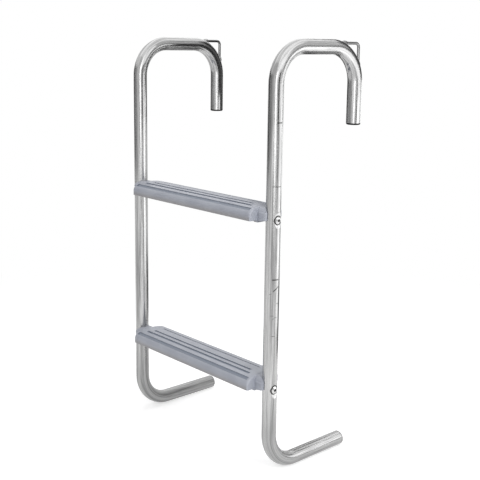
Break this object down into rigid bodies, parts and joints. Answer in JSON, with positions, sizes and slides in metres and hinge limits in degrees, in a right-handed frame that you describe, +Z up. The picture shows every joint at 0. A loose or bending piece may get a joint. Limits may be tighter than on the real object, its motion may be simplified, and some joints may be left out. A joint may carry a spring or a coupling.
{
  "type": "raft boarding ladder",
  "caption": "Hook-on boarding ladder of bent stainless tube with moulded plastic treads, rope loops and plugged feet.",
  "frame": {"origin": "midway between the two hooks, on the line under their straight top runs, at the middle of their span; this is where the gunwale bears", "axes": "+Z up along the rails, +Y from the treads towards the raft, the way that the hooks and feet point, +X to the right of a climber who faces the raft"},
  "size_m": [0.3954, 0.2367, 0.7414],
  "materials": {
    "stainless_tube": "polished stainless tube with fine lengthwise draw lines",
    "stainless_rod": "polished stainless rod",
    "weld_metal": "cleaned weld bead",
    "fastener_steel": "bright stainless fastener",
    "tread_plastic": "blue-grey moulded plastic, fine matt grain",
    "plug_rubber": "black moulded plug"
  },
  "bodies": {
    "root": {"rail_left": "stainless_tube", "tie_loop_left": "stainless_rod", "loop_weld_left_top": "weld_metal", "loop_weld_left_back": "weld_metal", "hook_plug_left": "plug_rubber", "foot_plug_left": "plug_rubber", "rail_right": "stainless_tube", "tie_loop_right": "stainless_rod", "loop_weld_right_top": "weld_metal", "loop_weld_right_back": "weld_metal", "hook_plug_right": "plug_rubber", "foot_plug_right": "plug_rubber", "tread_lower": "tread_plastic", "screw_lower_left": "fastener_steel", "nut_lower_left": "fastener_steel", "screw_lower_right": "fastener_steel", "nut_lower_right": "fastener_steel", "tread_upper": "tread_plastic", "screw_upper_left": "fastener_steel", "nut_upper_left": "fastener_steel", "screw_upper_right": "fastener_steel", "nut_upper_right": "fastener_steel"}
  },
  "joints": []
}
